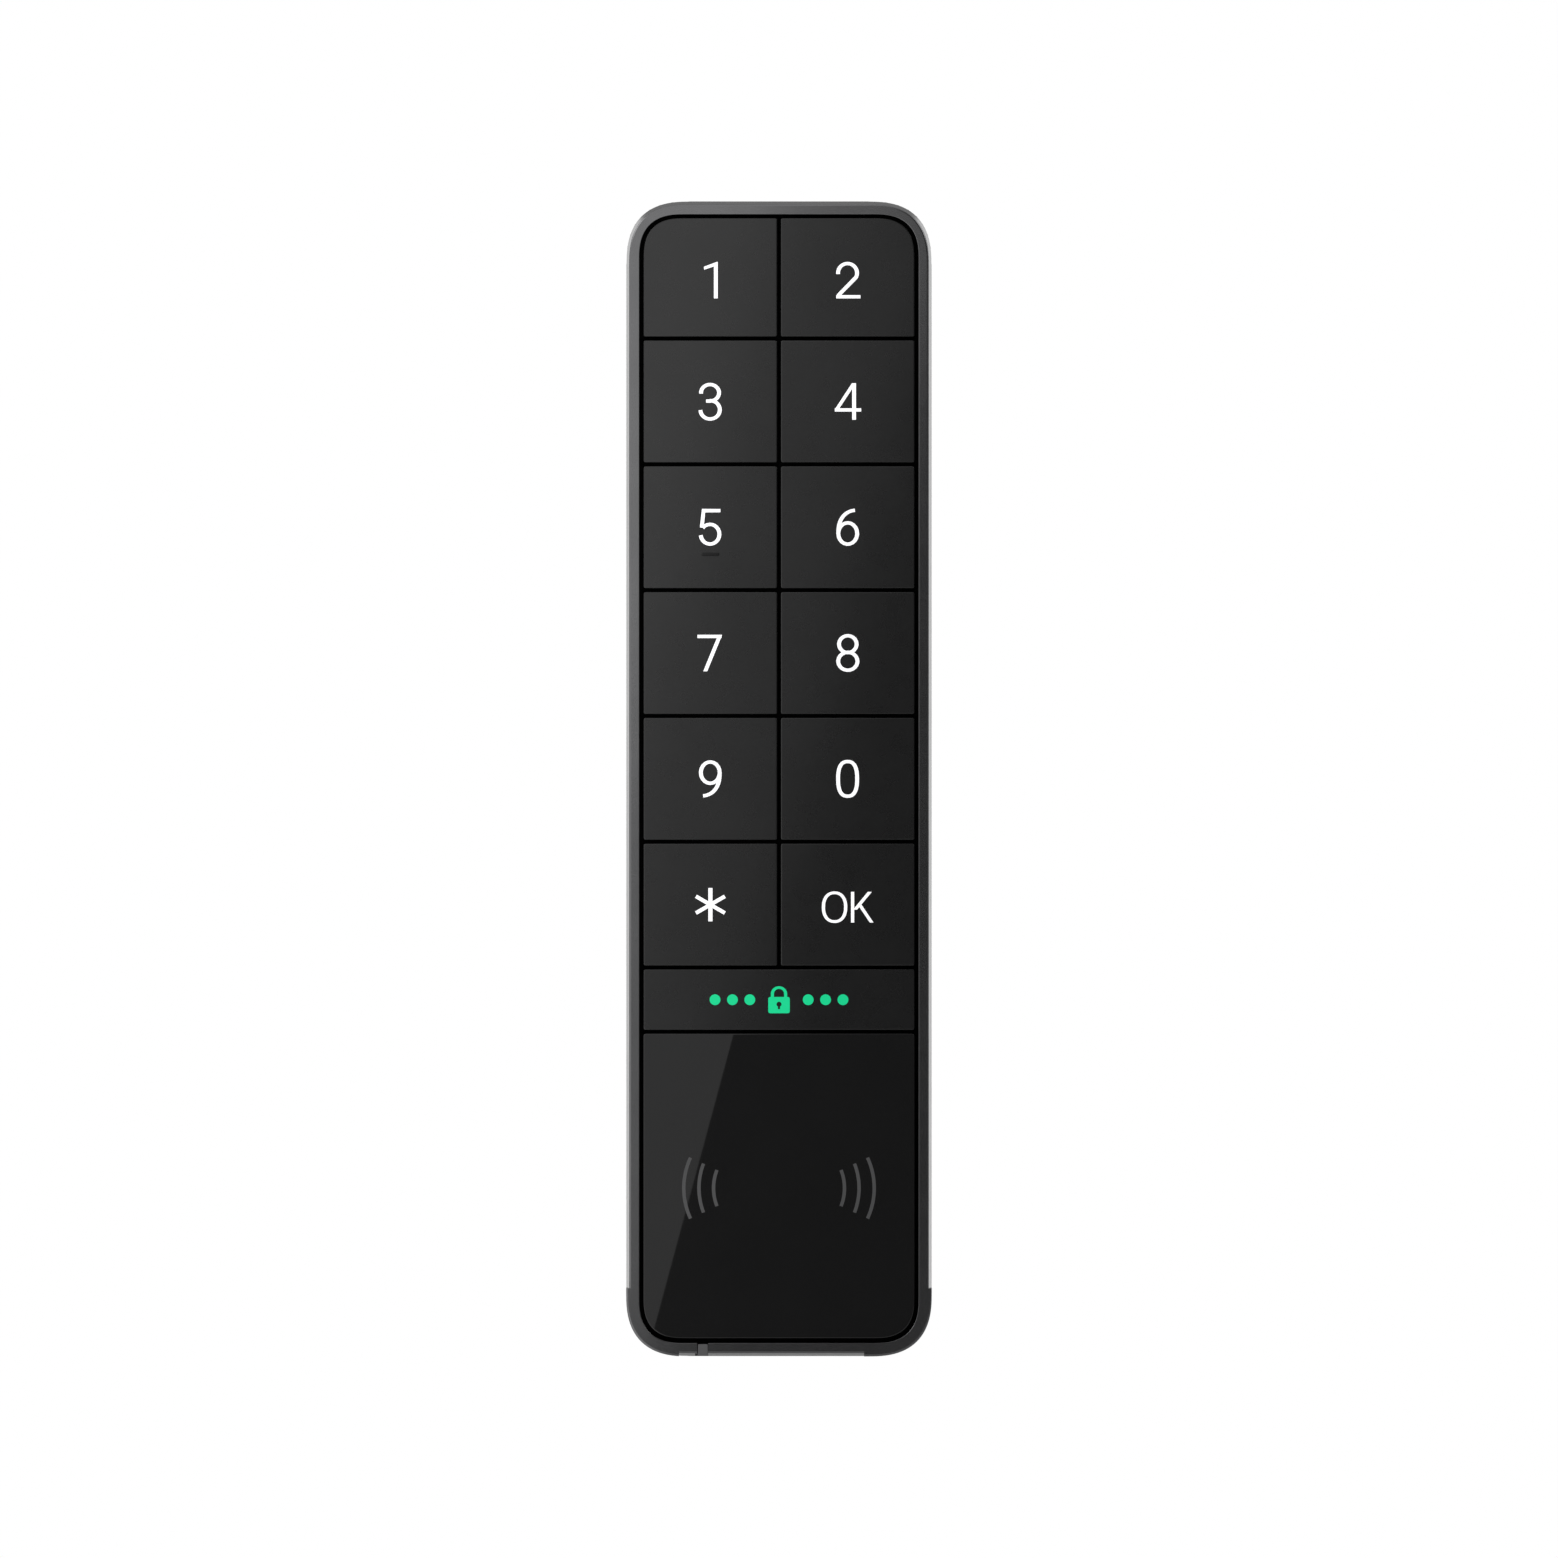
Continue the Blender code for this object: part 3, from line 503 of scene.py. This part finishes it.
def make_bracket():
    """Bracket: the CAD solid with a chamfered wall edge, moulded pockets and an arrow that says up."""
    shape = bmesh.new()
    shape.from_mesh(frame["nodes"]["wall_bracket"].data)
    bracket = make_piece("bracket_moulding", shape, "wall_bracket", [BRACKET])
    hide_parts("wall_bracket")
    forget_normals(bracket)
    beyond = 1.0
    past = 0.02
    # The slope of the chamfer goes on at both ends: out of the bracket's side and behind the wall
    wall_edge = (
        (bracket_low[1] - beyond, -beyond),
        (-WALL_CHAMFER - beyond, -beyond),
        (past, WALL_CHAMFER + past),
    )
    shape = bmesh.new()
    add_loft(shape, [(depth, plate_outline(inset)) for depth, inset in wall_edge])
    carve(bracket, "INTERSECT", shape)
    arrow = [(-ARROW_HALF_WIDTH, ARROW_FOOT), (ARROW_HALF_WIDTH, ARROW_FOOT), (0.0, ARROW_TIP)]
    shape = bmesh.new()
    for outline in [*pocket_outlines(), arrow]:
        add_loft(shape, [(beyond, outline), (-POCKET_DEPTH, outline)])
    carve(bracket, "DIFFERENCE", shape)


def forget_normals(piece):
    """Drops the shading directions that a mesh brought with it."""
    stored = piece.data.attributes.get("custom_normal")
    if stored:
        piece.data.attributes.remove(stored)


def plate_outline(inset):
    """Outline of the bracket moved inwards."""
    half_width = HALF_WIDTH - inset
    half_height = HALF_HEIGHT - inset
    return rounded(-half_width, half_width, -half_height, half_height, [CORNER - inset] * 4)


def pocket_outlines():
    """Three columns of shallow pockets between thin ribs."""
    low = -HALF_HEIGHT + POCKET_LAND
    pitch = (2 * (HALF_HEIGHT - POCKET_LAND) + POCKET_RIB) / POCKET_ROWS
    outer = CORNER - POCKET_LAND
    for row in range(POCKET_ROWS):
        bottom = low + row * pitch
        top = bottom + pitch - POCKET_RIB
        for column, (left, right) in enumerate(POCKET_COLUMNS):
            if column == 1 and row in SOLID_ROWS:
                continue
            corners = [POCKET_CORNER] * 4
            if column != 1 and row == 0:
                corners[3 if column else 2] = outer
            if column != 1 and row == POCKET_ROWS - 1:
                corners[0 if column else 1] = outer
            yield rounded(left, right, bottom, top, corners)


# Signs: strokes along paths of (x, z) points, and filled plates


def arc(x, z, radius_x, radius_z, start, end, steps=20):
    """Part of an ellipse, with angles in degrees."""
    points = []
    for step in range(steps + 1):
        angle = math.radians(start + (end - start) * step / steps)
        points.append((x + radius_x * math.cos(angle), z + radius_z * math.sin(angle)))
    return points


def bezier(a, b, c, d, steps=14):
    """Cubic curve from a to d, drawn towards b and c."""
    points = []
    for step in range(steps + 1):
        t = step / steps
        weights = ((1 - t) ** 3, 3 * t * (1 - t) ** 2, 3 * t * t * (1 - t), t**3)
        points.append(tuple(sum(w * p[i] for w, p in zip(weights, (a, b, c, d))) for i in (0, 1)))
    return points


def oval(radius_x, radius_z, power=2.5, steps=48):
    """Superellipse about the origin."""
    points = []
    for step in range(steps):
        reach = superellipse(2 * math.pi * step / steps, power)
        points.append((radius_x * reach[0], radius_z * reach[1]))
    return points


def stroke_edges(path, width, closed):
    """Left and right edge of a stroke, mitred at its corners."""
    count = len(path)
    left, right = [], []
    for index, point in enumerate(path):
        before = path[index - 1] if index or closed else None
        after = path[(index + 1) % count] if index < count - 1 or closed else None
        ways = []
        for start, end in ((before, point), (point, after)):
            if start is not None and end is not None:
                step = Vector((end[0] - start[0], end[1] - start[1])).normalized()
                ways.append(Vector((-step.y, step.x)))
        across = sum(ways, Vector((0, 0))).normalized()
        thick = width * math.hypot(across.x, FLAT_STROKE * across.y)
        reach = thick / 2 / max(across.dot(ways[0]), 0.4)
        left.append((point[0] + across.x * reach, point[1] + across.y * reach))
        right.append((point[0] - across.x * reach, point[1] - across.y * reach))
    return left, right


def add_stroke(shape, path, width, front, back, closed=False):
    """Adds one closed ribbon between two depths."""
    left, right = stroke_edges(path, width, closed)
    rows = []
    for depth in (front, back):
        for edge in (left, right):
            rows.append([shape.verts.new(Vector((x, depth, z)) * MM) for x, z in edge])
    front_left, front_right, back_left, back_right = rows
    count = len(path)
    spans = count if closed else count - 1
    for index in range(spans):
        after = (index + 1) % count
        for first, second in (
            (front_left, front_right),
            (back_right, back_left),
            (front_right, back_right),
            (back_left, front_left),
        ):
            shape.faces.new((first[index], first[after], second[after], second[index]))
    if not closed:
        for index in (0, count - 1):
            corners = (front_left[index], front_right[index], back_right[index], back_left[index])
            shape.faces.new(corners)


def moved(path, x, z):
    return [(x + px, z + pz) for px, pz in path]


def turned_over(path):
    return [(-x, -z) for x, z in path]


def leaning(start, end, width):
    """Outline of a slanted stroke whose ends are cut level."""
    rise = end[1] - start[1]
    run = end[0] - start[0]
    half = width / 2 * math.hypot(rise, run) / abs(rise)
    return [
        (start[0] - half, start[1]),
        (start[0] + half, start[1]),
        (end[0] + half, end[1]),
        (end[0] - half, end[1]),
    ]


OPEN, CLOSED, PLATE = "open", "closed", "plate"


def digit_shapes():
    """Each digit as paths about its middle: open or closed centre lines, or filled plates."""
    full = DIGIT_HEIGHT / 2
    top = full - DIGIT_STROKE * FLAT_STROKE / 2
    stem = DIGIT_STROKE / 2
    six = [
        (arc(0.02, -0.9, 1.36, 1.54, 0, 354), CLOSED),
        (bezier((-1.33, -0.8), (-1.38, 1.25), (-0.3, top - 0.05), (1.05, top + 0.05)), OPEN),
    ]
    one = [(0.78 - stem, -full), (0.78 + stem, -full), (0.78 + stem, full), (0.94, full)]
    one += [(-0.94, 1.92), (-0.9, 1.5), (0.78 - stem, 1.98)]
    return {
        "1": [(one, PLATE)],
        "2": [
            (arc(-0.01, 1.02, 1.37, top - 1.02, 186, -26) + [(-1.38, -top + 0.15)], OPEN),
            ([(-1.64, -top), (1.85, -top)], OPEN),
        ],
        "3": [
            (arc(-0.05, 1.25, 1.3, top - 1.2, 186, -90) + [(-0.62, 0.05)], OPEN),
            (arc(-0.04, -1.2, 1.4, top - 1.06, 92, -178), OPEN),
        ],
        "4": [
            ([(0.93, -full), (0.93, full)], OPEN),
            (leaning((-1.6, -1.2), (0.9, full), 0.46), PLATE),
            ([(-1.84, -1.22), (1.95, -1.22)], OPEN),
        ],
        "5": [
            ([(1.44, top), (-0.98, top), (-1.24, -0.05)], OPEN),
            (arc(-0.05, -1.0, 1.35, top - 0.97, 140, -174), OPEN),
        ],
        "6": six,
        "7": [
            ([(-1.86, top), (1.6, top)], OPEN),
            (leaning((-0.74, -full), (1.41, full), 0.52), PLATE),
        ],
        "8": [
            (arc(0.03, 1.28, 1.27, top - 1.17, 0, 354), CLOSED),
            (arc(0.03, -1.18, 1.39, top - 1.1, 0, 354), CLOSED),
        ],
        "9": [(turned_over(path), kind) for path, kind in six],
        "0": [(oval(1.37, top + 0.1), CLOSED)],
    }


def star_shapes():
    """Star of three crossed strokes."""
    arm = 2.4
    shapes = []
    for turn in (90, 30, 150):
        angle = math.radians(turn)
        tip = (arm * math.cos(angle), arm * math.sin(angle))
        shapes.append(([tip, (-tip[0], -tip[1])], OPEN))
    return shapes


def ok_shapes():
    """The word OK: an oval, a stem and two slanted strokes."""
    full = WORD_HEIGHT / 2
    middle_z = -0.36
    shapes = [
        (oval(1.6, full - 0.14, 2.25), CLOSED, -1.88),
        ([(0, -full), (0, full)], OPEN, 0.72),
        (leaning((0, -0.35), (2.12, full), 0.44), PLATE, 1.08),
        (leaning((0, 0.38), (1.74, -full), 0.44), PLATE, 1.72),
    ]
    return [(moved(path, x, middle_z), kind) for path, kind, x in shapes]


def add_sign(shape, parts, x, z, width):
    """Adds the parts of one sign on a face, each a hair higher than the one before."""
    for index, (path, kind) in enumerate(parts):
        front = FACE - PRINT_HEIGHT - LAYER * index
        back = FACE + PRINT_ROOT
        place = moved(path, x, z)
        if kind == PLATE:
            add_loft(shape, [(back, place), (front, place)])
        else:
            add_stroke(shape, place, width, front, back, kind == CLOSED)


# Keys, status strip and reading pad


def middle(node):
    """Middle of a CAD node, seen from the front."""
    low, high = box_mm(node)
    return (low[0] + high[0]) / 2, (low[2] + high[2]) / 2


def make_keys():
    """Key caps with their signs, each on the body of its key."""
    digits = digit_shapes()
    for node in sorted(name for name in frame["nodes"] if name.startswith("key_")):
        word = node[len("key_"):]
        if word == "mat":
            continue
        x, z = middle(node)
        corners = [SMALL_CORNER] * 4
        if word in ("1", "2"):
            corners[1 if x < 0 else 0] = FIELD_CORNER
        make_cap(node, f"cap_{word}", node, corners, KEY)
        if word == "star":
            parts, width = star_shapes(), STAR_STROKE
        elif word == "ok":
            parts, width = ok_shapes(), WORD_STROKE
        else:
            parts, width = digits[word], DIGIT_STROKE
        sign_x = math.copysign(SIGN_X, x)
        sign_z = z - (TOP_ROW_DROP if word in ("1", "2") else 0.0)
        shape = bmesh.new()
        add_sign(shape, parts, sign_x, sign_z, width)
        make_piece(f"legend_{word}", shape, node, [WHITE])
        if word == "5":
            shape = bmesh.new()
            add_loft(shape, ridge_sections(sign_x, z - RIDGE_DROP))
            # The ridge's darker finish is painted shade.
            make_piece("touch_ridge", shape, node, [RIDGE_PAINTED_SHADE])


def ridge_sections(x, z):
    """Low rounded bar that a finger finds under the 5."""
    reach = 1.05  # from the middle to the centres of the round ends
    sections = []
    for rise, half in ((-0.05, 0.25), (0.05, 0.24), (0.12, 0.17), (0.15, 0.08)):
        outline = rounded(x - reach - half, x + reach + half, z - half, z + half, [half] * 4)
        sections.append((FACE - rise, outline))
    return sections


def make_status_bar():
    """Status strip with a green padlock and three dots on each side of it."""
    make_cap("status_bar", "status_panel", "reader", [SMALL_CORNER] * 4, KEY)
    z = middle("status_bar")[1]
    back, front = FACE + PRINT_ROOT, FACE - PRINT_HEIGHT
    shackle_half = 0.95
    shackle = arc(0, z + 0.85, shackle_half, 0.9, 180, 0)
    shackle = [(-shackle_half, z + 0.3), *shackle, (shackle_half, z + 0.3)]
    shape = bmesh.new()
    plates = [rounded(-1.55, 1.55, z - 1.95, z + 0.4, [SMALL_CORNER] * 4)]
    for side in (-1, 1):
        plates += [circle(side * (4.2 + 2.5 * step), z, 0.78) for step in range(3)]
    for plate in plates:
        add_loft(shape, [(back, plate), (front, plate)])
    add_stroke(shape, shackle, 0.45, front - LAYER, back)
    make_piece("status_sign", shape, "reader", [GREEN])
    half = 0.15
    top, bottom = z - 0.65, z - 1.35
    hole = circle(0, top, 0.36)
    slot = [(-half, bottom), (half, bottom), (half, top), (-half, top)]
    shape = bmesh.new()
    for lift, outline in ((2 * LAYER, hole), (3 * LAYER, slot)):
        add_loft(shape, [(FACE, outline), (front - lift, outline)])
    make_piece("sign_keyhole", shape, "reader", [KEY])


def make_pad():
    """Glossy reading pad with three arcs on each side."""
    corners = [SMALL_CORNER, SMALL_CORNER, FIELD_CORNER, FIELD_CORNER]
    make_cap("reader_pad", "pad_panel", "reader", corners, PAD, PAD_FILLET, PAD_BACK)
    z = middle("reader_pad")[1] - 0.3
    waves = ((13.7, 10.4, 4.38), (11.52, 9.7, 3.52), (9.42, 7.1, 2.6))
    shape = bmesh.new()
    for side, facing in ((-1, 180), (1, 0)):
        for reach, radius, half_height in waves:
            half = math.degrees(math.asin(half_height / radius))
            path = arc(side * (reach - radius), z, radius, radius, facing - half, facing + half)
            add_stroke(shape, path, WAVE_STROKE, FACE - PRINT_HEIGHT, FACE + PRINT_ROOT)
    make_piece("pad_waves", shape, "reader", [WAVE])


def paint_cad_nodes():
    """Gives each CAD node a finish, by its slot in the record."""
    finishes = {
        "bracket_plastic": BRACKET,
        "housing_plastic": COVER,
        "smoke_plastic": SMOKE,
        "screw_steel": STEEL,
        "silicone": SILICONE,
        "black_rubber": RUBBER,
        "clear_plastic": CLEAR,
        "lamp": CLEAR,
        "board": BOARD,
        "copper": COPPER,
        "ferrite": FERRITE,
        "chip_plastic": CHIP,
        "shield_tin": TIN,
        "white_plastic": SILICONE,
        "green_plastic": TERMINAL,
        "key_plastic": KEY,
        "pad_plastic": PAD,
    }
    for row in frame["record"]["subparts"]:
        mesh = frame["nodes"][row["node"]].data
        mesh.materials.clear()
        mesh.materials.append(finishes[row["material_slot"]])


# Studio, in metres

FRONT_LIGHT = 0.08
BACK_LIGHT = 0.9
BACK_SHADE = 0.25  # how much of the light is left above and below, straight behind the reader
FLOOR_DROP = 0.4
FLOOR_GLOW = 0.55
SLANT = 15.1  # of the softboxes in front, in degrees


def make_floor():
    """Pale floor a little below the reader."""
    shape = bmesh.new()
    bmesh.ops.create_circle(shape, cap_ends=True, radius=5.0, segments=96)
    mesh = bpy.data.meshes.new("floor")
    shape.to_mesh(mesh)
    shape.free()
    material, tree, shader = new_material("pale_floor")
    place = tree.nodes.new("ShaderNodeTexCoord").outputs["Object"]
    shade = ramp(tree, noise(tree, place, 40.0), (0.6, 0.6, 0.6), (0.63, 0.63, 0.63))
    tree.links.new(shade, shader.inputs["Base Color"])
    shader.inputs["Roughness"].default_value = 0.9
    shader.inputs["Emission Color"].default_value = (1, 1, 1, 1)
    seen = tree.nodes.new("ShaderNodeLightPath").outputs["Is Camera Ray"]
    glow = calculated(tree, "MULTIPLY", seen, FLOOR_GLOW)
    tree.links.new(glow, shader.inputs["Emission Strength"])
    mesh.materials.append(material)
    floor = bpy.data.objects.new("floor", mesh)
    floor.location.z = -FLOOR_DROP
    bpy.context.scene.collection.objects.link(floor)


def make_world():
    """White studio: bright behind the reader and at its sides, dim in front of it."""
    world = bpy.data.worlds.new("studio")
    world.use_nodes = True
    bpy.context.scene.world = world
    tree = world.node_tree
    background = tree.nodes["Background"]
    background.inputs["Color"].default_value = (1, 1, 1, 1)
    direction = tree.nodes.new("ShaderNodeTexCoord").outputs["Generated"]
    parts = tree.nodes.new("ShaderNodeSeparateXYZ")
    tree.links.new(direction, parts.inputs["Vector"])
    depth = smooth_range(tree, parts.outputs["Y"], (-0.75, 0.6), (FRONT_LIGHT, BACK_LIGHT))
    across = calculated(tree, "ABSOLUTE", parts.outputs["X"])
    upright = calculated(tree, "ABSOLUTE", parts.outputs["Z"])
    slope = calculated(tree, "SUBTRACT", upright, across)
    above = smooth_range(tree, slope, (-0.02, 0.02), (0.0, 1.0))
    straight = smooth_range(tree, parts.outputs["Y"], (0.6, 0.85), (0.0, 1.0 - BACK_SHADE))
    shade = calculated(tree, "SUBTRACT", 1.0, calculated(tree, "MULTIPLY", above, straight))
    light = calculated(tree, "MULTIPLY", depth, shade)
    seen = tree.nodes.new("ShaderNodeLightPath").outputs["Is Camera Ray"]
    strength = calculated(tree, "MAXIMUM", light, seen)
    tree.links.new(strength, background.inputs["Strength"])


def smooth_range(tree, value, source, target):
    """Eases from one target to the other while a value crosses the source range."""
    node = tree.nodes.new("ShaderNodeMapRange")
    node.interpolation_type = "SMOOTHSTEP"
    node.inputs["From Min"].default_value = source[0]
    node.inputs["From Max"].default_value = source[1]
    node.inputs["To Min"].default_value = target[0]
    node.inputs["To Max"].default_value = target[1]
    tree.links.new(value, node.inputs["Value"])
    return node.outputs["Result"]


def calculated(tree, operation, *values):
    """Output of a maths node, whose inputs are numbers or other outputs."""
    node = tree.nodes.new("ShaderNodeMath")
    node.operation = operation
    for place, value in zip(node.inputs, values):
        if isinstance(value, float):
            place.default_value = value
        else:
            tree.links.new(value, place)
    return node.outputs["Value"]


def area_light(name, place, target, size, radiance, turn=0.0):
    """Rectangular softbox that faces a target, turned about its own axis by an angle in degrees."""
    light = bpy.data.lights.new(name, "AREA")
    light.shape = "RECTANGLE"
    light.size, light.size_y = size
    light.energy = radiance * math.pi * size[0] * size[1]
    lamp = bpy.data.objects.new(name, light)
    lamp.location = place
    way = Vector(target) - Vector(place)
    lamp.rotation_mode = "QUATERNION"
    lamp.rotation_quaternion = way.to_track_quat("-Z", "Z")
    lamp.rotation_quaternion.rotate(Quaternion(way.normalized(), math.radians(turn)))
    lamp.visible_camera = False
    bpy.context.scene.collection.objects.link(lamp)


def make_lights():
    """Softboxes with a slanted edge in front, which fade over the satin faces, and side lights.

    The first one's edge shows sharply in the glossy pad. The second starts further left.
    """
    size = (0.5, 0.8)
    edge_x = 0.0034
    across = Vector((-math.cos(math.radians(SLANT)), 0, math.sin(math.radians(SLANT))))
    for name, distance, start, radiance in (("edge", 0.08, 0, 0.37), ("fill", 0.085, 0.0243, 0.51)):
        centre = Vector((edge_x, -distance, 0)) + across * (start + size[0] / 2)
        area_light(name + "_softbox", centre, centre + Vector((0, 1, 0)), size, radiance, SLANT)
    for name, side in (("left", -1), ("right", 1)):
        place = (side * 0.9, -0.15, 0.6)
        area_light("side_softbox_" + name, place, (0, 0, 0), (0.5, 0.9), 1.8)


def make_camera():
    """Straight-on view from far away with a long lens."""
    lens = 1200.0
    sensor = 36.0
    frame_side = 0.2244  # what the picture spans at the reader's middle depth
    aim_z = -0.00004
    data = bpy.data.cameras.new("camera")
    data.lens = lens
    data.sensor_width = sensor
    data.clip_end = 50.0
    camera = bpy.data.objects.new("camera", data)
    depth = (SHELL_FRONT + SHELL_BACK) / 2 * MM
    camera.location = (0, depth - frame_side * lens / sensor, aim_z)
    camera.rotation_euler = (math.radians(90), 0, 0)
    bpy.context.scene.collection.objects.link(camera)
    bpy.context.scene.camera = camera


make_shell()
make_sensor_lens()
make_bracket()
make_keys()
make_status_bar()
make_pad()
paint_cad_nodes()
make_floor()
make_world()
make_lights()
make_camera()
bpy.context.scene.view_settings.view_transform = "Standard"
